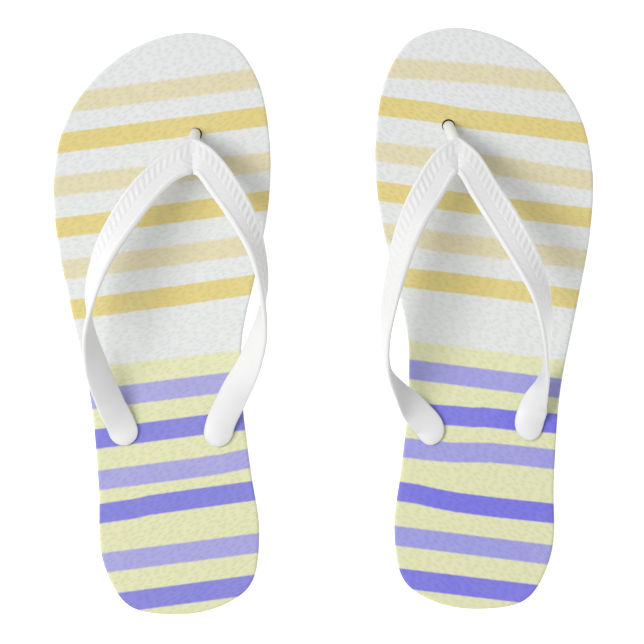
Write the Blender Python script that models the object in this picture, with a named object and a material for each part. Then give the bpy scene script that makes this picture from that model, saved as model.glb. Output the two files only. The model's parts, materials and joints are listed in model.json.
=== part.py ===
"""A pair of thong sandals: laminated foam soles, each with a one-piece moulded strap.

Every shoe is laid out in its own frame: +X towards the other shoe (the inner side of the foot),
+Y from the heel to the toes, +Z up, with the floor at z = 0 and the middle of the heel at x = 0.
Each sole layer and the strap are divided where the sole bends at the ball of the foot.
"""

import math

import bmesh
import bpy
from mathutils import Vector

MM = 0.001

# Placing of the pair
HEEL_SPACING = 136.8 * MM   # between the middles of the two heels
PAIR_SHIFT = 2.1 * MM       # puts the middle of the pair's box on x = 0
STAGGER = 2.5 * MM          # how far the right shoe lies ahead of the left one
YAW = math.radians(0.6)     # both shoes lie turned by this

# Sole
SOLE_LENGTH = 270.0 * MM
GAP = 0.3 * MM              # between pieces that touch
OUTSOLE_TOP = 3.7 * MM
MIDSOLE_TOP = 12.7 * MM
SOLE_TOP = 16.0 * MM
FLEX_Y = 184.0 * MM         # ball of the foot, where the sole bends
OUTLINE_STEPS = 5           # straight runs between two outline points

# The sole's edge seen from above, in millimetres (inner side positive, distance from the heel)
OUTLINE = (
    (-5, 0), (-24, 4), (-34.5, 21), (-37.2, 60), (-40.5, 100), (-48.7, 140), (-55.5, 176),
    (-56.8, 202), (-50.6, 230), (-36.5, 250), (-15, 265), (9, 270), (27.5, 264.5), (38.5, 248),
    (43.5, 224), (43.7, 196), (37, 159), (30, 128), (29.9, 100), (33.2, 68), (37.1, 34),
    (32.5, 12.5), (16, 2.5),
)

# Holes for the strap's three plugs
TOE_HOLE = {"left": (9.4 * MM, 222.8 * MM), "right": (9.95 * MM, 224.5 * MM)}
OUTER_HOLE = (-26.4 * MM, 85.7 * MM)
INNER_HOLE = (19.7 * MM, 84.3 * MM)
HOLE_RADIUS = 3.4 * MM
RECESS_RADIUS = 10.0 * MM   # in the outsole, where a plug's flange sits
HOLE_SIDES = 24

# Strap
CREASE_HALF_WIDTH = 9.1 * MM
FRONT_HALF_WIDTH = 7.5 * MM
REAR_HALF_WIDTH = 6.8 * MM
RIBBED_SIDE = (1.35 * MM, 0.75 * MM)    # middle line to ribbed face, at the V and at the rear
SMOOTH_SIDE = (1.45 * MM, 1.55 * MM)    # middle line to smooth face
THINNING = (0.35, 0.9)                  # shares of an arm between which its thickness changes
BAND_CORNER = 0.7 * MM                  # chamfer of the band's edges
CREASE_LEAN = math.radians(24)          # the front of the V tips down towards the toe post
MITRE_LENGTH = 9.0 * MM                 # over which the band turns from its crease to its own direction
BRIDGE_REACH = 10.0 * MM                # how far the strap's front piece runs along each arm
BRIDGE_SECTIONS = 5
ARM_SECTIONS = 22
TIP_SECTIONS = 5
TIP_POWER = 1.9                         # how full the rear ends are: 2 is a half circle
POST_RADIUS = 2.7 * MM
POST_HEAD = (0.5 * MM, 4.5 * MM, -2.0 * MM)   # from the middle of the crease to the top of the post
POST_STRAIGHT = 1.0 * MM                # the post leaves the footbed upright for this much
PLUG_RADIUS = 3.0 * MM
PLUG_RISE = 0.2 * MM                    # of a rear plug over the footbed
FLANGE_RADIUS = 8.5 * MM
FLANGE_BOTTOM = 0.6 * MM
FLANGE_TOP = 3.7 * MM
FLANGE_STEP = 0.01 * MM                 # height of the shoulder between a flange and its stem
ROUND_SIDES = 20

# Middle line of each strap arm from the V past its rear plug to its tip: inner side, distance from
# the heel, height over the footbed, all in millimetres, and the band's roll in degrees
# (0 lies with its ribbed face up, 90 stands on edge, 180 lies with its smooth face up)
ARMS = {
    "left": {
        "outer": (
            (8, 213.4, 18, 24), (-5.2, 205.4, 23.2, 26), (-12.3, 198.8, 27.5, 22),
            (-24, 183.5, 33.5, 28), (-33.9, 166, 37.5, 50), (-39.7, 147.4, 38, 75),
            (-40.7, 130, 33, 112), (-37.7, 115.6, 23.5, 143), (-31, 97.9, 9, 165),
            (-25.4, 85.2, 1.8, 180), (-24, 78.9, 1.1, 180),
        ),
        "inner": (
            (8, 213.4, 18, 24), (13.3, 209.8, 20.6, 23), (22.2, 198.4, 26.5, 19),
            (31.5, 182.7, 33, 37), (37.5, 167.1, 37, 61), (40.2, 147.5, 37.5, 84),
            (38.5, 131, 33, 119), (33.5, 116, 22.5, 145), (25, 99.8, 8.5, 177),
            (18.6, 84.3, 1.8, 180), (18.2, 77.7, 1.1, 180),
        ),
    },
    "right": {
        "outer": (
            (5.8, 211.3, 18, 24), (1, 206.5, 20.7, 32), (-6.1, 194.6, 27, 24),
            (-16.7, 177.6, 33, 10), (-25.2, 161.9, 37.5, 26), (-31.4, 146.8, 38.5, 52),
            (-34.7, 128, 35.5, 74), (-34.3, 114, 26.5, 96), (-32, 101.4, 13, 123),
            (-28.2, 93.2, 4.5, 168), (-26.1, 86.6, 1.8, 180), (-27.2, 78.1, 1.1, 180),
        ),
        "inner": (
            (5.8, 211.3, 18, 24), (11.1, 207.4, 20.8, 12), (18.7, 196.1, 27, 6),
            (27.9, 178.7, 33.5, 32), (33.8, 161, 37.5, 49), (38.1, 143, 38, 62),
            (40.5, 125, 34, 77), (39.5, 112.7, 26, 91), (33.6, 100.6, 12.5, 125),
            (25.9, 91.5, 4.5, 171), (20.3, 84.5, 1.8, 180), (19.2, 76.4, 1.1, 180),
        ),
    },
}


def clear_scene():
    for thing in list(bpy.data.objects):
        bpy.data.objects.remove(thing, do_unlink=True)


def plain_material(name, colour, roughness):
    material = bpy.data.materials.new(name)
    material.use_nodes = True
    shader = material.node_tree.nodes["Principled BSDF"]
    shader.inputs["Base Color"].default_value = (*colour, 1)
    shader.inputs["Roughness"].default_value = roughness
    shader.inputs["Metallic"].default_value = 0
    material.diffuse_color = (*colour, 1)
    return material


def make_materials():
    return {
        "footbed": plain_material("printed_footbed", (0.80, 0.80, 0.70), 0.6),
        "midsole": plain_material("foam_midsole", (0.84, 0.84, 0.82), 0.75),
        "outsole": plain_material("rubber_outsole", (0.80, 0.80, 0.78), 0.65),
        "strap": plain_material("moulded_strap", (0.88, 0.88, 0.87), 0.38),
    }


def smoothstep(t):
    t = min(1.0, max(0.0, t))
    return t * t * (3 - 2 * t)


def spline_point(before, a, b, after, lengths, t):
    """A point between a and b on a smooth curve whose slopes follow the spans' own lengths."""
    d0, d1, d2 = lengths
    slope_a = ((a - before) / d0 - (b - before) / (d0 + d1) + (b - a) / d1) * d1
    slope_b = ((b - a) / d1 - (after - a) / (d1 + d2) + (after - b) / d2) * d1
    t2, t3 = t * t, t * t * t
    return (
        a * (2 * t3 - 3 * t2 + 1)
        + slope_a * (t3 - 2 * t2 + t)
        + b * (3 * t2 - 2 * t3)
        + slope_b * (t3 - t2)
    )


def closed_spline(points, steps):
    """A smooth closed line through flat points."""
    count = len(points)
    points = [Vector(p) for p in points]
    line = []
    for i in range(count):
        four = [points[(i + k) % count] for k in (-1, 0, 1, 2)]
        lengths = [(four[k + 1] - four[k]).length for k in range(3)]
        line += [spline_point(*four, lengths, step / steps) for step in range(steps)]
    return line


def blend(pair, share):
    """Between the two values of a pair."""
    return pair[0] + (pair[1] - pair[0]) * share


class Arm:
    """The middle line and roll of one strap arm; both its ends run straight on."""

    def __init__(self, stations, outward):
        rows = [Vector((x * MM, y * MM, z * MM, math.radians(roll))) for x, y, z, roll in stations]
        rows = [row + Vector((0, 0, SOLE_TOP, 0)) for row in rows]
        self.rows = [2 * rows[0] - rows[1], *rows, 2 * rows[-1] - rows[-2]]
        self.spans = [(b.xyz - a.xyz).length for a, b in zip(self.rows, self.rows[1:])]
        self.total = sum(self.spans[1:-1])
        self.plug_at = sum(self.spans[1:-2])
        self.outward = outward

    def at(self, distance):
        left = min(self.total, max(0.0, distance))
        i = 1
        while i < len(self.spans) - 2 and left > self.spans[i]:
            left -= self.spans[i]
            i += 1
        near = self.rows[i - 1 : i + 3]
        return spline_point(*near, self.spans[i - 1 : i + 2], left / self.spans[i])

    def section(self, distance):
        """Middle, half width vector and ribbed face's normal of the band, that far from its crease."""
        row = self.at(distance)
        step = 0.4 * MM
        ahead = (self.at(distance + step).xyz - self.at(distance - step).xyz).normalized()
        out = Vector((ahead.y, -ahead.x, 0)).normalized()
        if out.x * self.outward < 0:
            out = -out
        up = ahead.cross(out)
        if up.z < 0:
            up = -up
        share = smoothstep(distance / self.plug_at)
        half = blend((FRONT_HALF_WIDTH, REAR_HALF_WIDTH), share)
        across = (out * math.cos(row.w) - up * math.sin(row.w)) * half
        face = up * math.cos(row.w) + out * math.sin(row.w)
        mitre = max(0.0, 1 - distance / MITRE_LENGTH)
        crease = Vector((0, math.cos(CREASE_LEAN), -math.sin(CREASE_LEAN)))
        across = across.lerp(crease * CREASE_HALF_WIDTH, mitre)
        face = face.lerp(Vector((0, math.sin(CREASE_LEAN), math.cos(CREASE_LEAN))), mitre)
        face -= across * (face.dot(across) / across.length_squared)
        return row.xyz, across, face.normalized()

    def ring(self, distance):
        """The eight corners of the band's chamfered cross-section."""
        middle, across, face = self.section(distance)
        past = min(1.0, max(0.0, (distance - self.plug_at) / (self.total - self.plug_at)))
        half = across.length * math.sqrt(1 - past**TIP_POWER)
        side = across.normalized()
        start, end = THINNING
        share = smoothstep((distance / self.plug_at - start) / (end - start))
        ribbed, smooth = blend(RIBBED_SIDE, share), blend(SMOOTH_SIDE, share)
        cut = min(BAND_CORNER, half / 2)
        corners = (
            (half, cut - smooth), (half, ribbed - cut), (half - cut, ribbed), (cut - half, ribbed),
            (-half, ribbed - cut), (-half, cut - smooth), (cut - half, -smooth), (half - cut, -smooth),
        )
        return [middle + side * a + face * b for a, b in corners]


def loft(bm, rings):
    """A closed skin through rings of equal count, with both ends filled."""
    loops = [[bm.verts.new(p) for p in ring] for ring in rings]
    for low, high in zip(loops, loops[1:]):
        for i in range(len(low)):
            j = (i + 1) % len(low)
            bm.faces.new((low[i], low[j], high[j], high[i]))
    bm.faces.new(loops[0])
    bm.faces.new(list(reversed(loops[-1])))


def circle(centre, radius, axis=Vector((0, 0, 1)), sides=ROUND_SIDES):
    """Points round an axis that leans forward or back but never lies down."""
    first = Vector((0, axis.z, -axis.y)).normalized()
    second = axis.normalized().cross(first)
    turns = [2 * math.pi * i / sides for i in range(sides)]
    return [centre + (first * math.cos(a) + second * math.sin(a)) * radius for a in turns]


def arm_rings(arm):
    """Cross-sections of one strap arm, from beside the V to its rounded rear end."""
    start = BRIDGE_REACH + GAP
    steps = [k / (ARM_SECTIONS - 1) for k in range(ARM_SECTIONS)]
    places = [blend((start, arm.plug_at), step) for step in steps]
    turns = [math.pi / 2 * k / TIP_SECTIONS for k in range(1, TIP_SECTIONS)]
    places += [blend((arm.plug_at, arm.total), math.sin(turn)) for turn in turns]
    return [arm.ring(place) for place in places]


def bridge_rings(outer, inner):
    """Cross-sections of the strap's front piece, from the outer arm through the crease to the inner."""
    places = [BRIDGE_REACH * k / (BRIDGE_SECTIONS - 1) for k in range(BRIDGE_SECTIONS)]
    rings = [outer.ring(place) for place in reversed(places)]
    return rings + [inner.ring(place) for place in places[1:]]


def post_rings(hole, crease):
    """The toe post with its flange: straight up through the sole, then leaning back to the V."""
    x, y = hole
    top = crease + Vector(POST_HEAD)
    foot = Vector((x, y, SOLE_TOP))
    up = Vector((0, 0, 1))
    lean = top - foot
    slant = lean.normalized()
    halfway = up.lerp(slant, 0.5)
    rings = [circle(Vector((x, y, FLANGE_BOTTOM)), FLANGE_RADIUS)]
    rings.append(circle(Vector((x, y, FLANGE_TOP)), FLANGE_RADIUS))
    rings.append(circle(Vector((x, y, FLANGE_TOP + FLANGE_STEP)), POST_RADIUS))
    rings.append(circle(foot - up * POST_STRAIGHT * 2, POST_RADIUS))
    rings.append(circle(foot + lean * 0.15 + up * POST_STRAIGHT, POST_RADIUS, halfway))
    rings.append(circle(foot + lean * 0.55, POST_RADIUS, slant))
    rings.append(circle(top, POST_RADIUS, slant))
    return rings


def plug_rings(hole):
    """A rear plug: a flange in the outsole's recess and a stem up to the footbed's surface."""
    x, y = hole
    heights = (
        (FLANGE_BOTTOM, FLANGE_RADIUS), (FLANGE_TOP, FLANGE_RADIUS),
        (FLANGE_TOP + FLANGE_STEP, PLUG_RADIUS), (SOLE_TOP + PLUG_RISE, PLUG_RADIUS),
    )
    return [circle(Vector((x, y, z)), r) for z, r in heights]


def half_outline(part):
    """The outline of the heel half or of the forefoot half, cut straight across at the flex line."""
    line = closed_spline([(x * MM, y * MM) for x, y in OUTLINE], OUTLINE_STEPS)
    cut = FLEX_Y - GAP / 2 if part == "heel" else FLEX_Y + GAP / 2
    sign = 1 if part == "heel" else -1
    kept = []
    for i, p in enumerate(line):
        q = line[(i + 1) % len(line)]
        if (cut - p.y) * sign > 0:
            kept.append(p)
        if (cut - p.y) * (cut - q.y) < 0:
            kept.append(p.lerp(q, (cut - p.y) / (q.y - p.y)))
    return kept


def add_plate(bm, outline, holes, radius, low, high):
    """A flat plate of that outline with round holes through it."""
    loops = [[Vector((p.x, p.y, low)) for p in outline]]
    loops += [circle(Vector((x, y, low)), radius, sides=HOLE_SIDES) for x, y in holes]
    edges = []
    for loop in loops:
        verts = [bm.verts.new(p) for p in loop]
        edges += [bm.edges.new((verts[i - 1], verts[i])) for i in range(len(verts))]
    bmesh.ops.triangle_fill(bm, edges=edges, use_beauty=True)
    raised = bmesh.ops.extrude_face_region(bm, geom=bm.faces[:])["geom"]
    tops = [v for v in raised if isinstance(v, bmesh.types.BMVert)]
    bmesh.ops.translate(bm, verts=tops, vec=(0, 0, high - low))


def add_frame(name, place, parent=None, turn=0.0):
    """An empty that pieces are parented to."""
    empty = bpy.data.objects.new(name, None)
    bpy.context.scene.collection.objects.link(empty)
    empty.parent = parent
    empty.location = place
    empty.rotation_euler.z = turn
    return empty


def add_piece(name, bm, material, frame, frame_at, mirror):
    """Makes an object of a mesh laid out in the shoe's frame, hung on an empty at frame_at."""
    for vert in bm.verts:
        vert.co -= frame_at
        vert.co.x *= mirror
    bmesh.ops.recalc_face_normals(bm, faces=bm.faces[:])
    if bm.calc_volume(signed=True) < 0:
        bmesh.ops.reverse_faces(bm, faces=bm.faces[:])
    mesh = bpy.data.meshes.new(name)
    bm.to_mesh(mesh)
    bm.free()
    mesh.materials.append(material)
    piece = bpy.data.objects.new(name, mesh)
    bpy.context.scene.collection.objects.link(piece)
    piece.parent = frame
    return piece


def lofted_piece(name, rings, *place):
    bm = bmesh.new()
    loft(bm, rings)
    piece = add_piece(name, bm, *place)
    piece.data.shade_smooth()
    piece.data.set_sharp_from_angle(angle=math.radians(35))
    return piece


def build_sole(shoe, part, materials, place):
    """The three laminated layers of one half of a sole."""
    holes = (OUTER_HOLE, INNER_HOLE) if part == "heel" else (TOE_HOLE[shoe],)
    layers = (
        ("outsole", 0.0, OUTSOLE_TOP, RECESS_RADIUS),
        ("midsole", OUTSOLE_TOP + GAP, MIDSOLE_TOP, HOLE_RADIUS),
        ("footbed", MIDSOLE_TOP + GAP, SOLE_TOP, HOLE_RADIUS),
    )
    for layer, low, high, radius in layers:
        bm = bmesh.new()
        add_plate(bm, half_outline(part), holes, radius, low, high)
        add_piece(f"{shoe}_{layer}_{part}", bm, materials[layer], *place)


def build_strap_front(shoe, arms, material, place):
    """The V of the strap with its toe post, joined into one moulding."""
    front = lofted_piece(f"{shoe}_strap_front", bridge_rings(*arms), material, *place)
    stem = post_rings(TOE_HOLE[shoe], arms[0].at(0.0).xyz)
    post = lofted_piece(f"{shoe}_post_guide", stem, material, *place)
    post.hide_render = True
    post.display_type = "WIRE"
    union = front.modifiers.new("join_post", "BOOLEAN")
    union.operation = "UNION"
    union.solver = "EXACT"
    union.object = post


def build_shoe(shoe, materials):
    mirror = 1 if shoe == "left" else -1
    middle = PAIR_SHIFT - mirror * HEEL_SPACING / 2
    heel_y = -SOLE_LENGTH / 2 - mirror * STAGGER / 2
    frame = add_frame(f"{shoe}_shoe_frame", (middle, heel_y, 0), turn=YAW)
    flex_at = Vector((0, FLEX_Y, SOLE_TOP))
    flex = add_frame(f"{shoe}_flex_axis", flex_at, frame)
    heel_place = (frame, Vector((0, 0, 0)), mirror)
    toe_place = (flex, flex_at, mirror)
    build_sole(shoe, "heel", materials, heel_place)
    build_sole(shoe, "forefoot", materials, toe_place)
    arms = (Arm(ARMS[shoe]["outer"], -1), Arm(ARMS[shoe]["inner"], 1))
    build_strap_front(shoe, arms, materials["strap"], toe_place)
    for side, arm, hole in zip(("outer", "inner"), arms, (OUTER_HOLE, INNER_HOLE)):
        lofted_piece(f"{shoe}_strap_{side}_arm", arm_rings(arm), materials["strap"], *heel_place)
        lofted_piece(f"{shoe}_{side}_plug", plug_rings(hole), materials["strap"], *heel_place)


def main():
    clear_scene()
    materials = make_materials()
    for shoe in ("left", "right"):
        build_shoe(shoe, materials)


main()
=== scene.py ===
"""A pair of striped thong sandals on a white studio floor.

The CAD frame gives each shoe's place, outline and height. A shoe is shown as four continuous pieces:
a printed footbed, a foam midsole, a rubber outsole and a strap
moulded in one with its toe post and plugs.
Places on a shoe are (inner, forward, up): inner is towards the other shoe, forward runs from the heel
to the toes, and up is the height over the floor.
"""

import json
import math

import bmesh
import bpy
import numpy as np
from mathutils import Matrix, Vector

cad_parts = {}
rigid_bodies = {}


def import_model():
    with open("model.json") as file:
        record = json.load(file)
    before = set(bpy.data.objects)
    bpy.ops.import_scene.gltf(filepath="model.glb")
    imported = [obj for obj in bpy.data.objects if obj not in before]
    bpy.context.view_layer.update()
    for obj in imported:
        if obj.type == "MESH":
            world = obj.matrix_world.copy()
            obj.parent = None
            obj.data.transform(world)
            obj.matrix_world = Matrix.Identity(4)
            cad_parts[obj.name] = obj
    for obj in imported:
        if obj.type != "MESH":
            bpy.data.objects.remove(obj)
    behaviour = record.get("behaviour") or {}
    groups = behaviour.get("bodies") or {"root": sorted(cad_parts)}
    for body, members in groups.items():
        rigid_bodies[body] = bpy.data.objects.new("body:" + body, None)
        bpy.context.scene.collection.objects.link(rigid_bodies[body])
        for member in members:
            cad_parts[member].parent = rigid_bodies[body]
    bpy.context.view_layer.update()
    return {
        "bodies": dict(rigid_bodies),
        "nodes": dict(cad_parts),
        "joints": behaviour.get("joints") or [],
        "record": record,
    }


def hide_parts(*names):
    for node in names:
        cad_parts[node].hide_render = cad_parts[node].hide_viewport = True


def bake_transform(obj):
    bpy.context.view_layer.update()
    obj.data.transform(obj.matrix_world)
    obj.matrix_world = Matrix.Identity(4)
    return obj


MM = 0.001

# Sole
OUTLINE_COUNT = 840          # points round the sole's edge
TOP_COLUMNS = 136            # columns of the footbed's top
BOTTOM_COLUMNS = 64          # columns of the tread
HIDDEN_COLUMNS = 8           # columns of a face between two layers
LAYER_GAP = 0.3 * MM         # between the CAD layers; the shown layers share it
EDGE_ROUND = 1.3 * MM        # rounding of the footbed's upper edge
SEAM_ROUND = 0.35 * MM       # rounding of a layer's edge at a glued joint
WALL_HOLLOW = 0.35 * MM      # how far the midsole's walls draw in at half height
SOLE_BEND = 25 * MM          # half the length of a span round the ball of the foot

# Footbed grain: short shallow strokes in rows, slanting a little more than the stripes
STROKE_TILT = math.radians(20)
STROKE_PITCH = (4.3 * MM, 1.5 * MM)
STROKE_DEPTH = 0.16 * MM

# Holes
TOE_HOLE = {"left": (9.4 * MM, 222.8 * MM), "right": (9.95 * MM, 224.5 * MM)}
OUTER_HOLE = (-26.4 * MM, 85.7 * MM)
INNER_HOLE = (19.7 * MM, 84.3 * MM)
HOLE_RADIUS = 3.05 * MM
HOLE_SEARCH = 8.0 * MM       # CAD edge points nearer to a hole than this belong to it
HOLE_DIP = 0.2 * MM          # how far the surface is drawn down at the toe hole's rim
POST_SHIFT = {"left": (-0.3 * MM, 0.2 * MM), "right": (-0.05 * MM, -0.35 * MM)}   # post in its hole
RECESS_RADIUS = 9.6 * MM

# Tread
TREAD_PITCH = 6.5 * MM
TREAD_DEPTH = 0.9 * MM
TREAD_BORDER = 5.0 * MM

# Print: each stripe's ink, softness of its edge, and its middle line through (inner, forward) in mm
STRIPE_HALF_WIDTH = 4.6 * MM
CRISP, SOFT = 0.45 * MM, 0.95 * MM
STRIPES = {
    "left": (
        ("pale", SOFT, ((-60, 236.7), (45, 249.4))),
        ("yellow", CRISP, ((-60, 218.5), (45, 231.3))),
        ("pale", SOFT, ((-60, 198.8), (45, 210.0))),
        ("yellow", CRISP, ((-60, 179.4), (-40, 181.6), (45, 192.0))),
        ("pale", SOFT, ((-60, 159.4), (45, 172.5))),
        ("yellow", CRISP, ((-60, 140.5), (0, 148.0), (45, 154.1))),
        ("lavender", CRISP, ((-60, 98.0), (45, 110.1))),
        ("violet", CRISP, ((-40, 81.6), (-20, 84.1), (10, 87.8), (40, 90.7))),
        ("lavender", CRISP, ((-40, 62.3), (5, 67.7), (20, 69.7), (30, 71.8), (40, 73.1))),
        ("violet", CRISP, ((-40, 46.8), (-20, 49.5), (-14, 50.9), (5, 53.4), (40, 57.8))),
        ("lavender", CRISP, ((-40, 23.8), (40, 33.3))),
        ("violet", CRISP, ((-40, 4.4), (0, 9.3), (40, 14.3))),
    ),
    "right": (
        ("pale", SOFT, ((-60, 241.8), (-30, 245.4), (-10, 248.0), (15, 250.0), (45, 252.4))),
        ("yellow", CRISP, ((-60, 219.6), (0, 227.6), (20, 231.2), (45, 234.6))),
        ("pale", SOFT, ((-60, 197.9), (-38, 201.1), (-20, 204.5), (45, 213.2))),
        ("yellow", CRISP, ((-60, 180.4), (0, 188.2), (45, 194.9))),
        ("pale", SOFT, ((-60, 160.6), (-10, 167.7), (12, 170.3), (45, 176.0))),
        ("yellow", CRISP, ((-60, 141.7), (-20, 147.6), (5, 151.1), (45, 155.9))),
        ("lavender", CRISP, ((-60, 99.4), (-10, 106.3), (40, 113.2))),
        ("violet", CRISP, ((-40, 85.7), (-20, 87.3), (-5, 89.1), (0, 89.0), (6, 89.7), (40, 92.3))),
        ("lavender", CRISP, ((-40, 68.8), (-25, 70.7), (-8, 72.6), (10, 72.9), (20, 73.8), (40, 76.4))),
        ("violet", CRISP, ((-40, 43.7), (-10, 47.2), (8, 49.7), (18, 51.7), (26, 53.7), (40, 56.0))),
        ("lavender", CRISP, ((-40, 24.2), (40, 35.0))),
        ("violet", CRISP, ((-40, 5.0), (0, 10.2), (40, 15.5))),
    ),
}
LEMON_LINE = {"left": ((-60, 113.0), (45, 124.1)), "right": ((-60, 112.6), (45, 127.3))}
LEMON_SOFTNESS = 0.9 * MM
INKS = {
    "left": {
        "pale": (0.750, 0.682, 0.450),
        "yellow": (0.750, 0.624, 0.234),
        "lavender": (0.404, 0.388, 0.750),
        "violet": (0.240, 0.231, 0.720),
    },
    "right": {
        "pale": (0.750, 0.682, 0.450),
        "yellow": (0.750, 0.624, 0.234),
        "lavender": (0.356, 0.351, 0.765),
        "violet": (0.203, 0.188, 0.772),
    },
}
WHITE_GROUND = (0.773, 0.789, 0.781)
LEMON_GROUND = (0.765, 0.772, 0.480)
FOAM_WHITE = (0.800, 0.800, 0.790)
RUBBER_WHITE = (0.760, 0.760, 0.745)
STRAP_WHITE = (0.820, 0.822, 0.818)

# Strap: middle line of each arm from the V past its rear plug to its tip, as (inner, forward, height
# over the footbed) in mm, and the band's roll in degrees (0 has the ribbed face up, 180 the smooth)
ARMS = {
    "left": {
        "outer": (
            (8, 213.4, 18, 24), (-5.2, 205.4, 23.2, 26), (-12.3, 198.8, 27.5, 22),
            (-24, 183.5, 33.5, 28), (-33.9, 166, 37.5, 50), (-39.7, 147.4, 38, 75),
            (-40.7, 130, 33, 112), (-37.7, 115.6, 23.5, 143), (-31, 97.9, 9, 165),
            (-25.4, 85.2, 1.8, 180), (-24, 78.9, 1.1, 180),
        ),
        "inner": (
            (8, 213.4, 18, 24), (13.3, 209.8, 20.6, 23), (22.2, 198.4, 26.5, 19),
            (31.5, 182.7, 33, 37), (37.5, 167.1, 37, 61), (40.2, 147.5, 37.5, 84),
            (38.5, 131, 33, 119), (33.5, 116, 22.5, 145), (25, 99.8, 8.5, 177),
            (18.6, 84.3, 1.8, 180), (18.2, 77.7, 1.1, 180),
        ),
    },
    "right": {
        "outer": (
            (5.8, 211.3, 18, 24), (0.9, 206.3, 20.8, 26), (-6.1, 194.6, 27, 23),
            (-16.7, 177.6, 33, 14), (-25.2, 161.9, 37.5, 27), (-31.4, 146.8, 38.5, 52),
            (-34.7, 128, 35.5, 74), (-34.3, 114, 26.5, 96), (-32, 101.4, 13, 123),
            (-28.2, 93.2, 4.5, 168), (-26.1, 86.6, 1.8, 180), (-27.2, 78.1, 1.1, 180),
        ),
        "inner": (
            (5.8, 211.3, 18, 24), (11.1, 207.4, 20.8, 17), (18.7, 196.1, 27, 9),
            (27.9, 178.7, 33.5, 32), (33.8, 161, 37.5, 49), (38.1, 143, 38, 62),
            (40.5, 125, 34, 77), (39.5, 112.7, 26, 91), (33.6, 100.6, 12.5, 125),
            (25.9, 91.5, 4.5, 171), (20.3, 84.5, 1.8, 180), (19.2, 76.4, 1.1, 180),
        ),
    },
}
CREASE_HALF_WIDTH = 9.1 * MM
FRONT_HALF_WIDTH = 7.5 * MM
REAR_HALF_WIDTH = 6.8 * MM
CREASE_LEAN = math.radians(24)
MITRE_LENGTH = 13 * MM       # from the crease to where the band runs square
MITRE_SWELL = 0.35           # widening of the band halfway through the mitre
FOLD_DEPTH = 1.0 * MM        # how far the band is folded down along its crease
FOLD_REACH = 6.0 * MM
BAND_STEP = 0.55 * MM        # between two cross-sections of the band
RIBBED_POINTS = 40
SMOOTH_POINTS = 18
EDGE_POINTS = 3
EDGE_HALF_THICKNESS = (1.35 * MM, 0.75 * MM)   # at the V, at the rear plugs
CROWN = (0.15 * MM, 1.0 * MM)                  # of the smooth face, at the V and at the plugs
RIB_PITCH = 3.75 * MM
RIB_SLANT = 0.8
RIB_HEIGHT = 0.34 * MM
INNER_RIB_SHARE = 0.5        # height of the ribs on the half nearer the foot
RIB_FADE = (0.50, 0.62)      # shares of the arm between which the ribs die out
FIELD_HALF_WIDTH = 5.3 * MM
RIM_BEAD = 0.16 * MM
POST_RADIUS = 2.65 * MM
POST_HEAD = (0.3 * MM, 2.8 * MM, -2.7 * MM)    # from the middle of the crease to the post's top
PLUG_RADIUS = 3.1 * MM
TIP_POWER = 1.9              # how full the rear ends are: 2 is a half circle
TIP_RINGS = 16
FLANGE_RADIUS = 8.5 * MM
FLANGE_BOTTOM = 0.6 * MM
FLANGE_TOP = 3.7 * MM
STRAP_BEND = (120 * MM, 204 * MM)              # two forward places along the strap

# Studio
VIEW_WIDTH = 299.3 * MM
VIEW_CENTRE = (-0.5 * MM, -0.55 * MM)
CAMERA_HEIGHT = 10.0
SENSOR = 36.0


# ---------------------------------------------------------------- places and outlines


class Shoe:
    """One shoe's own directions, heights and outline, all read from the CAD frame."""

    def __init__(self, frame, name):
        joint = next(j for j in frame["joints"] if j["name"] == f"{name}_flex")
        self.name = name
        self.mirror = 1 if name == "left" else -1
        self.flex = np.array(joint["pos_m"], float)
        across = np.array(joint["axis"], float) * (1, 1, 0)
        across *= math.copysign(1, across[0]) / np.linalg.norm(across)
        self.across = across
        self.forward = np.array((-across[1], across[0], 0))
        self.heel_to_flex = 0.0
        heel = self.to_shoe(node_points(frame, f"{name}_footbed_heel"))
        self.heel_to_flex = -heel[:, 1].min()
        self.top = heel[:, 2].max()
        self.footbed_bottom = heel[:, 2].min() - LAYER_GAP / 2
        outsole = self.to_shoe(node_points(frame, f"{name}_outsole_heel"))
        self.outsole_top = outsole[:, 2].max() + LAYER_GAP / 2
        self.bottom = outsole[:, 2].min()
        self.holes = (TOE_HOLE[name], OUTER_HOLE, INNER_HOLE)
        self.loop = self.find_outline(frame)

    def to_scene(self, places):
        inner, forward, up = np.asarray(places, float).T
        flat = self.flex * (1, 1, 0) + np.outer(inner * self.mirror, self.across)
        flat += np.outer(forward - self.heel_to_flex, self.forward)
        return flat + np.outer(up, (0, 0, 1))

    def to_shoe(self, points):
        away = points - self.flex * (1, 1, 0)
        forward = away @ self.forward + self.heel_to_flex
        return np.column_stack((away @ self.across * self.mirror, forward, away[:, 2]))

    def find_outline(self, frame):
        """The footbed's edge as a smooth closed loop, from the heel tip up the inner side."""
        halves = [node_points(frame, f"{self.name}_footbed_{half}") for half in ("heel", "forefoot")]
        places = self.to_shoe(np.concatenate(halves))
        places = places[places[:, 2] > self.top - 0.1 * MM][:, :2]
        gaps = [np.hypot(*(places - hole).T) for hole in self.holes]
        places = np.unique(places[np.min(gaps, axis=0) > HOLE_SEARCH].round(5), axis=0)
        loop = resample(places[np.argsort(order_round(places))], OUTLINE_COUNT)
        loop = soften(loop, 4.0)
        return np.roll(loop, -int(np.argmin(loop[:, 1])), axis=0)


def node_points(frame, name):
    mesh = frame["nodes"][name].data
    points = np.empty(len(mesh.vertices) * 3)
    mesh.vertices.foreach_get("co", points)
    return points.reshape(-1, 3)


def order_round(places):
    """A key that rises round the sole: inner side, toe cap, outer side, heel cap."""
    inner, forward = places.T
    low, high = 0.2 * forward.max(), 0.8 * forward.max()
    turn = np.arctan2(forward - np.clip(forward, low, high), inner) % (2 * math.pi) / math.pi
    side = (np.clip(forward, low, high) - low) / (high - low)
    choices = [forward > high, forward < low, inner > 0]
    return np.select(choices, [1 + turn, 2 + turn, side], 3 - side)


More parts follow.
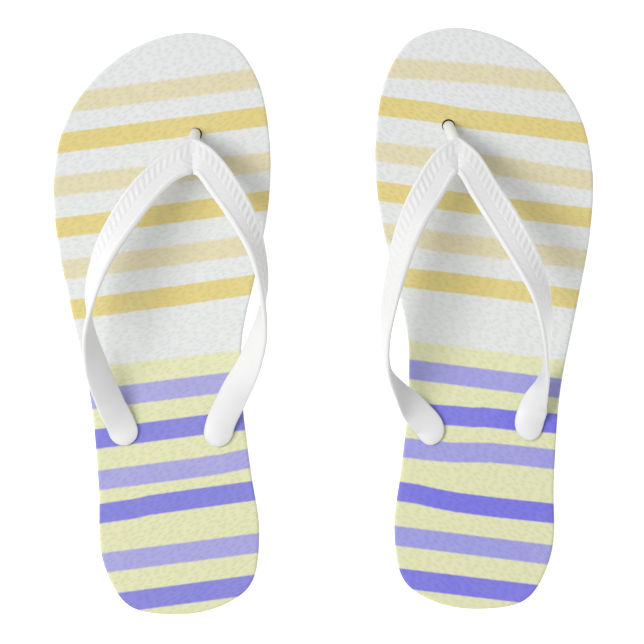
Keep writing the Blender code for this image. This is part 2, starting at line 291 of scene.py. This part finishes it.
def resample(loop, count):
    """The same closed loop with evenly spaced points."""
    closed = np.vstack((loop, loop[:1]))
    steps = np.linalg.norm(np.diff(closed, axis=0), axis=1)
    run = np.concatenate(((0,), np.cumsum(steps)))
    at = np.linspace(0, run[-1], count, endpoint=False)
    return np.column_stack([np.interp(at, run, closed[:, k]) for k in (0, 1)])


def soften(loop, reach):
    """Rounds off the loop's corners over about that many points."""
    rate = np.fft.fftfreq(len(loop))
    keep = np.exp(-2 * (math.pi * rate * reach) ** 2)[:, None]
    return np.real(np.fft.ifft(np.fft.fft(loop, axis=0) * keep, axis=0))


def inset(loop, depth):
    ahead = np.roll(loop, -1, axis=0) - np.roll(loop, 1, axis=0)
    ahead /= np.linalg.norm(ahead, axis=1)[:, None]
    return loop + np.column_stack((-ahead[:, 1], ahead[:, 0])) * depth


def smoothstep(value, low=0.0, high=1.0):
    t = np.clip((value - low) / (high - low), 0, 1)
    return t * t * (3 - 2 * t)


# ---------------------------------------------------------------- sole


class Slab:
    """A sole layer as points and faces: edge rings from top to bottom, closed by two ladders."""

    def __init__(self, loop, rings, top_columns, bottom_columns):
        self.count = len(loop)
        loops = [inset(loop, depth) for depth, _ in rings]
        heights = [np.full((self.count, 1), height) for _, height in rings]
        self.points = [np.hstack(pair) for pair in zip(loops, heights)]
        self.faces = []
        self.total = self.count * len(rings)
        for level in range(len(rings) - 1):
            self.add_wall(level * self.count, (level + 1) * self.count)
        self.top_at = self.add_ladder(loops[0], 0, rings[0][1], top_columns, False)
        last = (len(rings) - 1) * self.count
        self.bottom_at = self.add_ladder(loops[-1], last, rings[-1][1], bottom_columns, True)
        self.points = np.concatenate(self.points)

    def add_wall(self, upper, lower):
        here = np.arange(self.count)
        after = np.roll(here, -1)
        quads = np.column_stack((lower + here, lower + after, upper + after, upper + here))
        self.faces += quads.tolist()

    def add_ladder(self, loop, first, height, columns, faces_down):
        """Rungs that join the loop's two sides. Returns its points' slice and edge distances."""
        half = self.count // 2
        right, left = loop[1:half], loop[:half:-1]
        share = np.linspace(0, 1, columns + 1)[1:-1]
        span = right - left
        inside = left[:, None] + span[:, None] * share[None, :, None]
        near = np.linalg.norm(span, axis=1)[:, None] * np.minimum(share, 1 - share)
        grid = np.empty((half - 1, columns + 1), int)
        grid[:, 0] = first + np.arange(self.count - 1, half, -1)
        grid[:, -1] = first + np.arange(1, half)
        grid[:, 1:-1] = self.total + np.arange(inside[..., 0].size).reshape(half - 1, -1)
        quads = np.stack((grid[:-1, :-1], grid[:-1, 1:], grid[1:, 1:], grid[1:, :-1]), axis=-1)
        faces = quads.reshape(-1, 4).tolist()
        faces += [[first, b, a] for a, b in zip(grid[0, :-1].tolist(), grid[0, 1:].tolist())]
        faces += [[a, b, first + half] for a, b in zip(grid[-1, :-1].tolist(), grid[-1, 1:].tolist())]
        if faces_down:
            faces = [face[::-1] for face in faces]
        self.faces += faces
        flat = inside.reshape(-1, 2)
        self.points.append(np.column_stack((flat, np.full(len(flat), height))))
        start = self.total
        self.total += len(flat)
        return slice(start, self.total), near.ravel()


def rounding(radius, height, steps, downward=False):
    """(inset, height) pairs of a rounded edge under height, or over it when it turns downward."""
    turns = [math.pi / 2 * k / steps for k in range(steps + 1)]
    if downward:
        return [(radius * (1 - math.cos(a)), height + radius * (1 - math.sin(a))) for a in turns]
    return [(radius * (1 - math.sin(a)), height - radius * (1 - math.cos(a))) for a in turns]


def footbed_slab(shoe):
    rings = rounding(EDGE_ROUND, shoe.top, 6)
    rings += rounding(SEAM_ROUND, shoe.footbed_bottom, 3, downward=True)
    slab = Slab(shoe.loop, rings, TOP_COLUMNS, HIDDEN_COLUMNS)
    where, _ = slab.top_at
    inner, forward, _ = slab.points[where].T
    away = np.hypot(inner - shoe.holes[0][0], forward - shoe.holes[0][1]) - HOLE_RADIUS
    slab.points[where, 2] -= HOLE_DIP * np.exp(-((away / (1.3 * MM)) ** 2))
    return slab


def midsole_slab(shoe):
    """Foam walls draw in a little between the two glued joints."""
    top, bottom = shoe.footbed_bottom, shoe.outsole_top
    drops = (0.2, 0.4, 0.6, 0.8)
    walls = [(WALL_HOLLOW * math.sin(math.pi * t), top + (bottom - top) * t) for t in drops]
    rings = rounding(SEAM_ROUND, top, 3) + walls
    rings += rounding(SEAM_ROUND, bottom, 3, downward=True)
    return Slab(shoe.loop, rings, HIDDEN_COLUMNS, HIDDEN_COLUMNS)


def outsole_slab(shoe):
    rings = rounding(SEAM_ROUND, shoe.outsole_top, 3)
    rings += rounding(0.8 * MM, shoe.bottom, 4, downward=True)
    slab = Slab(shoe.loop, rings, HIDDEN_COLUMNS, BOTTOM_COLUMNS)
    where, near = slab.bottom_at
    inner, forward, _ = slab.points[where].T
    wave = forward + 1.6 * MM * np.sin(2 * math.pi * inner / (16 * MM))
    groove = smoothstep(np.cos(2 * math.pi * wave / TREAD_PITCH), 0.15, 0.75)
    border = smoothstep(near, TREAD_BORDER, TREAD_BORDER + 1.2 * MM)
    along = smoothstep(np.minimum(forward, forward.max() - forward), TREAD_BORDER, TREAD_BORDER * 1.3)
    slab.points[where, 2] += groove * border * along * TREAD_DEPTH
    return slab


def make_mesh(name, points, faces):
    mesh = bpy.data.meshes.new(name)
    mesh.from_pydata(np.asarray(points).tolist(), [], faces)
    return mesh


def add_object(name, mesh):
    piece = bpy.data.objects.new(name, mesh)
    bpy.context.scene.collection.objects.link(piece)
    return piece


def drill(piece, holes, radius):
    """Cuts round holes right through a layer."""
    cutter_mesh = bpy.data.meshes.new("hole_cutter")
    bm = bmesh.new()
    for inner, forward in holes:
        made = bmesh.ops.create_cone(
            bm, cap_ends=True, segments=48, radius1=radius, radius2=radius, depth=60 * MM
        )
        bmesh.ops.translate(bm, verts=made["verts"], vec=(inner, forward, 0))
    bm.to_mesh(cutter_mesh)
    bm.free()
    cutter = add_object("hole_cutter", cutter_mesh)
    cut = piece.modifiers.new("holes", "BOOLEAN")
    cut.operation = "DIFFERENCE"
    cut.solver = "EXACT"
    cut.object = cutter
    graph = bpy.context.evaluated_depsgraph_get()
    mesh = bpy.data.meshes.new_from_object(piece.evaluated_get(graph))
    piece.modifiers.clear()
    piece.data = mesh
    bpy.data.objects.remove(cutter)


def finish_piece(shoe, piece, material, replaced, bend):
    """Moves a piece from the shoe's own directions into the scene and hides the CAD nodes it replaces."""
    mesh = piece.data
    places = np.empty(len(mesh.vertices) * 3)
    mesh.vertices.foreach_get("co", places)
    places = places.reshape(-1, 3)
    own = mesh.attributes.new("shoe_place", "FLOAT_VECTOR", "POINT")
    own.data.foreach_set("vector", places.ravel())
    mesh.vertices.foreach_set("co", shoe.to_scene(places).ravel())
    if shoe.mirror < 0:
        mesh.flip_normals()
    mesh.shade_smooth()
    mesh.set_sharp_from_angle(angle=math.radians(55))
    mesh.materials.clear()
    mesh.materials.append(material)
    mesh.update()
    ends = shoe.to_scene([(0, forward, shoe.top) for forward in bend])
    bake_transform(piece)
    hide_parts(*[f"{shoe.name}_{node}" for node in replaced])
    return places


def build_layer(shoe, layer, slab, holes, radius, material):
    piece = add_object(f"{shoe.name}_{layer}", make_mesh(f"{shoe.name}_{layer}", slab.points, slab.faces))
    drill(piece, holes, radius)
    bend = (shoe.heel_to_flex - SOLE_BEND, shoe.heel_to_flex + SOLE_BEND)
    nodes = (f"{layer}_heel", f"{layer}_forefoot")
    return piece, finish_piece(shoe, piece, material, nodes, bend)


def write_print(shoe, mesh, places):
    """Stores where each stripe and the lemon ground begin, for the footbed's material."""
    inner, forward = places[:, 0], places[:, 1]
    edge = np.full(len(places), -99.0)
    ink = np.ones((len(places), 4))
    for name, softness, line in STRIPES[shoe.name]:
        across, along = np.array(line, float).T * MM
        away = np.abs(forward - np.interp(inner, across, along))
        inside = (STRIPE_HALF_WIDTH - away) / softness
        nearer = inside > edge
        edge[nearer] = inside[nearer]
        ink[nearer, :3] = INKS[shoe.name][name]
    across, along = np.array(LEMON_LINE[shoe.name], float).T * MM
    lemon = (np.interp(inner, across, along) - forward) / LEMON_SOFTNESS
    for name, values in (("stripe_edge", edge), ("lemon_edge", lemon)):
        stored = mesh.attributes.new(name, "FLOAT", "POINT")
        stored.data.foreach_set("value", np.clip(values, -12, 12))
    stored = mesh.attributes.new("stripe_ink", "FLOAT_COLOR", "POINT")
    stored.data.foreach_set("color", ink.ravel())


def build_sole(shoe, materials):
    footbed, places = build_layer(
        shoe, "footbed", footbed_slab(shoe), shoe.holes, HOLE_RADIUS, materials["footbed"]
    )
    write_print(shoe, footbed.data, places)
    build_layer(
        shoe, "midsole", midsole_slab(shoe), shoe.holes, HOLE_RADIUS, materials["midsole"]
    )
    build_layer(
        shoe, "outsole", outsole_slab(shoe), shoe.holes, RECESS_RADIUS,
        materials["outsole"],
    )


# ---------------------------------------------------------------- strap


def curve_point(rows, spans, i, t):
    """A point between rows i and i + 1 of a smooth curve whose slopes follow the spans' lengths."""
    before, a, b, after = rows[i - 1 : i + 3]
    d0, d1, d2 = spans[i - 1 : i + 2]
    slope_a = ((a - before) / d0 - (b - before) / (d0 + d1) + (b - a) / d1) * d1
    slope_b = ((b - a) / d1 - (after - a) / (d1 + d2) + (after - b) / d2) * d1
    t2, t3 = t * t, t * t * t
    return (
        a * (2 * t3 - 3 * t2 + 1) + slope_a * (t3 - 2 * t2 + t)
        + b * (3 * t2 - 2 * t3) + slope_b * (t3 - t2)
    )


class Arm:
    """The middle line and roll of one strap arm."""

    def __init__(self, stations, outward, footbed_top):
        rows = np.array(stations, float) * (MM, MM, MM, math.pi / 180) + (0, 0, footbed_top, 0)
        self.rows = np.vstack((2 * rows[0] - rows[1], rows, 2 * rows[-1] - rows[-2]))
        self.spans = np.linalg.norm(np.diff(self.rows[:, :3], axis=0), axis=1)
        self.total = self.spans[1:-1].sum()
        self.plug_at = self.spans[1:-2].sum()
        self.outward = outward

    def at(self, distance):
        left = min(self.total, max(0.0, distance))
        i = 1
        while i < len(self.spans) - 2 and left > self.spans[i]:
            left -= self.spans[i]
            i += 1
        return curve_point(self.rows, self.spans, i, left / self.spans[i])

    def section(self, distance):
        """Middle, direction along, half-width vector to the outer edge, and ribbed face's normal."""
        x, y, z, roll = self.at(distance)
        step = 0.4 * MM
        ahead = unit(self.at(distance + step)[:3] - self.at(distance - step)[:3])
        out = unit(np.array((ahead[1], -ahead[0], 0)))
        out *= math.copysign(1, out[0] * self.outward)
        up = np.cross(ahead, out)
        up *= math.copysign(1, up[2])
        widening = float(smoothstep(distance / self.plug_at))
        half = FRONT_HALF_WIDTH + (REAR_HALF_WIDTH - FRONT_HALF_WIDTH) * widening
        across = (out * math.cos(roll) - up * math.sin(roll)) * half
        face = up * math.cos(roll) + out * math.sin(roll)
        mitre = max(0.0, 1 - distance / MITRE_LENGTH) ** 2
        crease = CREASE_HALF_WIDTH * np.array((0, math.cos(CREASE_LEAN), -math.sin(CREASE_LEAN)))
        across = across + (crease - across) * mitre
        across *= 1 + MITRE_SWELL * mitre * (1 - mitre)
        face = face + ((0, math.sin(CREASE_LEAN), math.cos(CREASE_LEAN)) - face) * mitre
        face = unit(face - across * (face @ across) / (across @ across))
        fold = FOLD_DEPTH * max(0.0, 1 - distance / FOLD_REACH)
        return np.array((x, y, z)) - face * fold, ahead, across, face


def unit(vector):
    return vector / np.linalg.norm(vector)


def ribbed_relief(offset, distance, share, half):
    """Height of the ribbed face: two rim beads round a sunk field of chevron ribs."""
    away = np.abs(offset)
    field = FIELD_HALF_WIDTH * half / FRONT_HALF_WIDTH
    inside = 1 - smoothstep(away, field - 0.45 * MM, field + 0.25 * MM)
    rib = 0.5 + 0.5 * np.cos(2 * math.pi * (distance + RIB_SLANT * away) / RIB_PITCH)
    rib = smoothstep(rib, 0.15, 0.85) * smoothstep(away, 0.1 * MM, 0.7 * MM)
    rib = rib * np.where(offset > 0, 1.0, INNER_RIB_SHARE)
    bead = RIM_BEAD * np.exp(-(((away - field - 0.75 * MM) / (0.42 * MM)) ** 2))
    live = 1 - float(smoothstep(share, *RIB_FADE))
    return live * (inside * (rib - 1) * RIB_HEIGHT + bead)


def band_ring(arm, distance):
    """One cross-section of the band: ribbed face, edge, smooth face, edge."""
    middle, ahead, across, face = arm.section(distance)
    share = distance / arm.plug_at
    width = float(np.linalg.norm(across))
    side = across / width
    past = min(1.0, max(0.0, (distance - arm.plug_at) / (arm.total - arm.plug_at)))
    rounded = (1 - past**TIP_POWER) ** 0.5
    blend = float(smoothstep(share, 0.35, 0.9))
    edge = EDGE_HALF_THICKNESS[0] + (EDGE_HALF_THICKNESS[1] - EDGE_HALF_THICKNESS[0]) * blend
    crown = (CROWN[0] + (CROWN[1] - CROWN[0]) * blend) * rounded
    half = width * rounded
    corner = min(edge, half * 0.5)
    flat = half - corner
    ribbed = np.linspace(flat, -flat, RIBBED_POINTS)
    smooth = np.linspace(-flat, flat, SMOOTH_POINTS)
    turns = np.linspace(0, math.pi, EDGE_POINTS + 2)[1:-1]
    bulge = flat + corner * np.sin(turns)
    offsets = np.concatenate((ribbed, -bulge, smooth, bulge))
    lean = float(side @ ahead)
    square = math.sqrt(1 - lean * lean)
    tops = edge + ribbed_relief(ribbed * square, distance + ribbed * lean, share, width * square)
    belly = -edge - crown * (1 - (smooth / flat) ** 2)
    heights = np.concatenate((tops, edge * np.cos(turns), belly, -edge * np.cos(turns)))
    return middle + np.outer(offsets, side) + np.outer(heights, face)


def arm_rings(arm):
    """Cross-sections from beside the crease to the rounded rear end."""
    count = round(arm.plug_at / BAND_STEP)
    rings = [band_ring(arm, arm.plug_at * i / count) for i in range(1, count + 1)]
    tip = arm.total - arm.plug_at
    for step in range(1, TIP_RINGS):
        reach = math.sin(math.pi / 2 * step / TIP_RINGS)
        rings.append(band_ring(arm, arm.plug_at + tip * reach))
    return rings


def loft(rings):
    """Points and faces of a closed skin through rings of equal count."""
    count = len(rings[0])
    here = np.arange(count)
    after = np.roll(here, -1)
    faces = []
    for level in range(len(rings) - 1):
        low, high = level * count, (level + 1) * count
        faces += np.column_stack((low + here, low + after, high + after, high + here)).tolist()
    faces.append(list(range(count))[::-1])
    faces.append(list(range((len(rings) - 1) * count, len(rings) * count)))
    return np.concatenate(rings), faces


def turned_rings(line, sides=40):
    """Rings round a line of (middle, radius, axis)."""
    angles = np.linspace(0, 2 * math.pi, sides, endpoint=False)
    rings = []
    for middle, radius, axis in line:
        first = unit(np.array((axis[2], 0, -axis[0])))
        second = np.cross(axis, first)
        rings.append(middle + radius * (np.outer(np.cos(angles), first) + np.outer(np.sin(angles), second)))
    return rings


def stem_line(x, y, radius, top):
    """A flange with rounded edges in its recess and a stem up through the sole."""
    up = np.array((0, 0, 1.0))
    profile = (
        (FLANGE_BOTTOM, FLANGE_RADIUS * 0.5), (FLANGE_BOTTOM, FLANGE_RADIUS - 1.2 * MM),
        (FLANGE_BOTTOM + 0.35 * MM, FLANGE_RADIUS - 0.35 * MM), (FLANGE_BOTTOM + 1.2 * MM, FLANGE_RADIUS),
        (FLANGE_TOP - 0.6 * MM, FLANGE_RADIUS), (FLANGE_TOP - 0.1 * MM, FLANGE_RADIUS - 0.4 * MM),
        (FLANGE_TOP, FLANGE_RADIUS - 1.0 * MM), (FLANGE_TOP + 0.02 * MM, radius + 0.8 * MM),
        (FLANGE_TOP + 0.8 * MM, radius), (top, radius),
    )
    return [(np.array((x, y, height)), size, up) for height, size in profile]


def post_line(shoe, crease):
    """The toe post: up through the hole, then leaning back and widening into the underside of the V."""
    x, y = np.add(shoe.holes[0], POST_SHIFT[shoe.name])
    line = stem_line(x, y, POST_RADIUS, shoe.top - 4 * MM)
    foot = np.array((x, y, shoe.top))
    head = crease + POST_HEAD
    lean = head - foot
    up = np.array((0, 0, 1.0))
    for t in np.linspace(0, 1, 12):
        bend = float(smoothstep(t, 0.0, 0.5))
        middle = foot + up * (lean[2] * t) + (lean * (1, 1, 0)) * (t * t * (1.6 - 0.6 * t))
        radius = POST_RADIUS * (1 + 0.1 * float(smoothstep(t, 0.45, 1.0)))
        line.append((middle, radius, unit(up + (unit(lean) - up) * bend)))
    return line


def join_skins(skins):
    points, faces, start = [], [], 0
    for skin_points, skin_faces in skins:
        points.append(skin_points)
        faces += [[start + i for i in face] for face in skin_faces]
        start += len(skin_points)
    return np.concatenate(points), faces


def build_strap(shoe, material):
    sides = (("outer", -1), ("inner", 1))
    arms = {side: Arm(ARMS[shoe.name][side], outward, shoe.top) for side, outward in sides}
    crease = [band_ring(arms["outer"], 0.0)]
    rings = arm_rings(arms["outer"])[::-1] + crease + arm_rings(arms["inner"])
    skins = [loft(rings)]
    skins.append(loft(turned_rings(post_line(shoe, arms["outer"].at(0.0)[:3]))))
    for inner, forward in shoe.holes[1:]:
        skins.append(loft(turned_rings(stem_line(inner, forward, PLUG_RADIUS, shoe.top + 1.5 * MM))))
    points, faces = join_skins(skins)
    mesh = make_mesh(f"{shoe.name}_strap", points, faces)
    bm = bmesh.new()
    bm.from_mesh(mesh)
    bmesh.ops.recalc_face_normals(bm, faces=bm.faces[:])
    bm.to_mesh(mesh)
    bm.free()
    piece = add_object(f"{shoe.name}_strap", mesh)
    nodes = ("strap_front", "strap_outer_arm", "strap_inner_arm", "outer_plug", "inner_plug")
    finish_piece(shoe, piece, material, nodes, STRAP_BEND)
    return piece


# ---------------------------------------------------------------- materials


def add_node(tree, kind, inputs=None, **settings):
    node = tree.nodes.new(kind)
    for key, value in settings.items():
        setattr(node, key, value)
    for key, value in (inputs or {}).items():
        if isinstance(value, bpy.types.NodeSocket):
            tree.links.new(value, node.inputs[key])
        else:
            node.inputs[key].default_value = value
    return node


def calc(tree, operation, a, b=0.0):
    return add_node(tree, "ShaderNodeMath", {0: a, 1: b}, operation=operation).outputs[0]


def span(tree, value, low, high, to_low=0.0, to_high=1.0, smooth=True):
    """Maps low..high to to_low..to_high."""
    kind = "SMOOTHSTEP" if smooth else "LINEAR"
    inputs = {"Value": value, "From Min": low, "From Max": high, "To Min": to_low, "To Max": to_high}
    return add_node(tree, "ShaderNodeMapRange", inputs, interpolation_type=kind).outputs["Result"]


def blend_colours(tree, share, a, b, how="MIX"):
    node = add_node(tree, "ShaderNodeMix", data_type="RGBA", blend_type=how)
    for socket, value in ((0, share), (6, a), (7, b)):
        if isinstance(value, bpy.types.NodeSocket):
            tree.links.new(value, node.inputs[socket])
        elif socket:
            node.inputs[socket].default_value = (*value, 1)
        else:
            node.inputs[socket].default_value = value
    return node.outputs[2]


def stored(tree, name):
    return add_node(tree, "ShaderNodeAttribute", attribute_name=name)


def new_group(name, inputs, outputs):
    group = bpy.data.node_groups.new(name, "ShaderNodeTree")
    for label, kind in inputs:
        group.interface.new_socket(label, in_out="INPUT", socket_type=kind)
    for label, kind in outputs:
        group.interface.new_socket(label, in_out="OUTPUT", socket_type=kind)
    return group, add_node(group, "NodeGroupInput"), add_node(group, "NodeGroupOutput")


def make_grain_group():
    """Fine surface grain: a height, and a painted shade that darkens the sunk pits."""
    group, given, result = new_group(
        "surface_grain",
        (("Place", "NodeSocketVector"), ("Fineness", "NodeSocketFloat"), ("Pits", "NodeSocketFloat")),
        (("Height", "NodeSocketFloat"), ("Pit_Shade", "NodeSocketFloat")),
    )
    noise = add_node(
        group, "ShaderNodeTexNoise",
        {
            "Vector": given.outputs["Place"], "Scale": given.outputs["Fineness"],
            "Detail": 4.0, "Roughness": 0.6,
        },
    ).outputs["Fac"]
    cells = add_node(
        group, "ShaderNodeTexVoronoi",
        {"Vector": given.outputs["Place"], "Scale": given.outputs["Fineness"]},
    ).outputs["Distance"]
    pits = calc(group, "MULTIPLY", span(group, cells, 0.0, 0.35, 1.0, 0.0), given.outputs["Pits"])
    height = calc(group, "SUBTRACT", noise, pits)
    group.links.new(height, result.inputs["Height"])
    # Painted shade: the colour is darkened in the sunk pits, where shade would fall.
    group.links.new(calc(group, "SUBTRACT", 1.0, calc(group, "MULTIPLY", pits, 0.5)), result.inputs["Pit_Shade"])
    return group


def make_handling_group():
    """Broad uneven patches, as handling and moulding leave, from 0 to 1."""
    group, given, result = new_group(
        "handling_patches",
        (("Place", "NodeSocketVector"), ("Fineness", "NodeSocketFloat")),
        (("Mask", "NodeSocketFloat"),),
    )
    broad = add_node(
        group, "ShaderNodeTexNoise",
        {
            "Vector": given.outputs["Place"], "Scale": given.outputs["Fineness"],
            "Detail": 3.0, "Distortion": 0.6,
        },
    ).outputs["Fac"]
    group.links.new(span(group, broad, 0.35, 0.65), result.inputs["Mask"])
    return group


def use_group(tree, group, **inputs):
    node = add_node(tree, "ShaderNodeGroup", node_tree=group)
    for label, value in inputs.items():
        if isinstance(value, bpy.types.NodeSocket):
            tree.links.new(value, node.inputs[label])
        else:
            node.inputs[label].default_value = value
    return node.outputs


def new_material(name, specular):
    material = bpy.data.materials.new(name)
    material.use_nodes = True
    shader = material.node_tree.nodes["Principled BSDF"]
    shader.inputs["Specular IOR Level"].default_value = specular
    return material, material.node_tree, shader


def put_on(tree, shader, colour, roughness, height, bump_distance):
    bump = add_node(tree, "ShaderNodeBump", {"Height": height, "Strength": 1.0, "Distance": bump_distance})
    tree.links.new(colour, shader.inputs["Base Color"])
    tree.links.new(roughness, shader.inputs["Roughness"])
    tree.links.new(bump.outputs["Normal"], shader.inputs["Normal"])


def make_footbed_material(grain, handling, sole_top):
    """White and lemon grounds with printed stripes; the print stops at the rounded edge, and painted shade
    darkens the pressed strokes and pits.
    """
    material, tree, shader = new_material("printed_footbed", 0.35)
    place = stored(tree, "shoe_place").outputs["Vector"]
    fine = use_group(tree, grain, Place=place, Fineness=1500.0, Pits=0.35)
    patches = use_group(tree, handling, Place=place, Fineness=30.0)["Mask"]
    fray = add_node(
        tree, "ShaderNodeTexNoise", {"Vector": place, "Scale": 700.0, "Detail": 2.0}
    ).outputs["Fac"]
    fray = span(tree, fray, 0.3, 0.7, -0.15, 0.15, smooth=False)
    lemon_mask = span(tree, calc(tree, "ADD", stored(tree, "lemon_edge").outputs["Fac"], fray), -1, 1)
    ground = blend_colours(tree, lemon_mask, WHITE_GROUND, LEMON_GROUND)
    stripe_mask = span(tree, calc(tree, "ADD", stored(tree, "stripe_edge").outputs["Fac"], fray), -1, 1)
    density = calc(tree, "MULTIPLY", stripe_mask, span(tree, patches, 0, 1, 0.96, 1.0))
    inked = blend_colours(tree, density, ground, stored(tree, "stripe_ink").outputs["Color"])
    height = add_node(tree, "ShaderNodeSeparateXYZ", {0: place}).outputs["Z"]
    printed = span(tree, height, sole_top - 1.1 * MM, sole_top - 0.6 * MM)
    coloured = blend_colours(tree, printed, FOAM_WHITE, inked)
    strokes = grain_strokes(tree, place)
    # Painted shade: the colour is darkened in the pressed strokes and in the pits, where shade would fall.
    pit_shade = span(tree, fine["Pit_Shade"], 0.8, 1.0, 0.95, 1.0)
    stroke_and_pit_shade = calc(tree, "MULTIPLY", span(tree, strokes, 0, 1, 1.0, 0.95), pit_shade)
    painted_shade_grey = add_node(tree, "ShaderNodeCombineColor", {0: stroke_and_pit_shade, 1: stroke_and_pit_shade, 2: stroke_and_pit_shade}).outputs[0]
    colour = blend_colours(tree, 1.0, coloured, painted_shade_grey, "MULTIPLY")
    relief = calc(tree, "SUBTRACT", calc(tree, "MULTIPLY", fine["Height"], 0.35), strokes)
    put_on(tree, shader, colour, span(tree, patches, 0, 1, 0.58, 0.68), relief, STROKE_DEPTH)
    return material


def grain_strokes(tree, place):
    """1 in the middle of each short stroke pressed into the footbed, 0 between the strokes."""
    turned = add_node(
        tree, "ShaderNodeMapping",
        {"Vector": place, "Rotation": (0, 0, -STROKE_TILT)},
    ).outputs["Vector"]
    stretched = add_node(
        tree, "ShaderNodeVectorMath",
        {0: turned, 1: (1 / STROKE_PITCH[0], 1 / STROKE_PITCH[1], 0.0)}, operation="MULTIPLY",
    ).outputs["Vector"]
    cells = add_node(
        tree, "ShaderNodeTexVoronoi", {"Vector": stretched, "Scale": 1.0, "Randomness": 0.8},
        voronoi_dimensions="2D",
    ).outputs["Distance"]
    return span(tree, cells, 0.05, 0.5, 1.0, 0.0)


def make_plain_material(name, tint, grain, handling, look):
    """An unprinted material in one tint. Look holds its grain, roughness and specular values."""
    material, tree, shader = new_material(name, look["specular"])
    place = stored(tree, "shoe_place").outputs["Vector"]
    fine = use_group(tree, grain, Place=place, Fineness=look["fineness"], Pits=look["pits"])
    patches = use_group(tree, handling, Place=place, Fineness=look["patch_fineness"])["Mask"]
    darker = tuple(channel * look["patch_tone"] for channel in tint)
    coloured = blend_colours(tree, patches, darker, tint)
    # Painted shade: the tint is darkened in the grain's sunk pits, where shade would fall.
    painted_shade_grey = add_node(tree, "ShaderNodeCombineColor", {k: fine["Pit_Shade"] for k in (0, 1, 2)}).outputs[0]
    colour = blend_colours(tree, 1.0, coloured, painted_shade_grey, "MULTIPLY")
    roughness = span(tree, patches, 0, 1, *look["roughness"])
    put_on(tree, shader, colour, roughness, fine["Height"], look["bump"])
    return material


def make_materials(sole_top):
    grain, handling = make_grain_group(), make_handling_group()
    # A look's pits set how deep the grain's pits sink and how much painted shade darkens them.
    foam = {
        "specular": 0.3, "fineness": 1100.0, "pits": 0.5, "patch_fineness": 40.0, "patch_tone": 0.97,
        "roughness": (0.72, 0.82), "bump": 0.12 * MM,
    }
    rubber = {
        "specular": 0.45, "fineness": 700.0, "pits": 0.2, "patch_fineness": 35.0, "patch_tone": 0.96,
        "roughness": (0.5, 0.62), "bump": 0.06 * MM,
    }
    moulding = {
        "specular": 0.45, "fineness": 420.0, "pits": 0.0, "patch_fineness": 45.0, "patch_tone": 0.99,
        "roughness": (0.36, 0.46), "bump": 0.015 * MM,
    }
    return {
        "footbed": make_footbed_material(grain, handling, sole_top),
        "midsole": make_plain_material("foam_midsole", FOAM_WHITE, grain, handling, foam),
        "outsole": make_plain_material("rubber_outsole", RUBBER_WHITE, grain, handling, rubber),
        "strap": make_plain_material("moulded_strap", STRAP_WHITE, grain, handling, moulding),
    }


# ---------------------------------------------------------------- studio


def add_floor():
    mesh = make_mesh("studio_floor", [(-4, -4, 0), (4, -4, 0), (4, 4, 0), (-4, 4, 0)], [(0, 1, 2, 3)])
    floor = add_object("studio_floor", mesh)
    floor.location.z = -0.2 * MM
    material, tree, shader = new_material("white_floor", 0.1)
    shader.inputs["Base Color"].default_value = (0.9, 0.9, 0.9, 1)
    shader.inputs["Roughness"].default_value = 0.9
    shader.inputs["Emission Color"].default_value = (1, 1, 1, 1)
    shader.inputs["Emission Strength"].default_value = 0.6
    mesh.materials.append(material)


def add_area_light(name, place, target, size, power):
    data = bpy.data.lights.new(name, "AREA")
    data.shape = "RECTANGLE"
    data.size, data.size_y = size
    data.energy = power
    light = bpy.data.objects.new(name, data)
    bpy.context.scene.collection.objects.link(light)
    light.location = place
    aim = np.array(target, float) - place
    light.rotation_mode = "QUATERNION"
    light.rotation_quaternion = Vector(aim).to_track_quat("-Z", "Y")


def add_studio():
    add_floor()
    world = bpy.data.worlds.new("studio")
    world.use_nodes = True
    sky = world.node_tree.nodes["Background"]
    sky.inputs["Color"].default_value = (1, 1, 1, 1)
    sky.inputs["Strength"].default_value = 0.5
    bpy.context.scene.world = world
    add_area_light("key_light", (-1.40, 0.05, 2.42), (0, 0, 0), (1.5, 1.5), 48)
    bpy.context.scene.view_settings.view_transform = "Standard"


def add_camera():
    data = bpy.data.cameras.new("camera")
    data.sensor_width = SENSOR
    data.lens = SENSOR * CAMERA_HEIGHT / VIEW_WIDTH
    data.clip_start, data.clip_end = 0.1, 100.0
    camera = bpy.data.objects.new("camera", data)
    bpy.context.scene.collection.objects.link(camera)
    camera.location = (*VIEW_CENTRE, CAMERA_HEIGHT)
    bpy.context.scene.camera = camera


def main():
    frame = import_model()
    shoes = [Shoe(frame, name) for name in ("left", "right")]
    materials = make_materials(shoes[0].top)
    for shoe in shoes:
        build_sole(shoe, materials)
        build_strap(shoe, materials["strap"])
    add_studio()
    add_camera()


main()
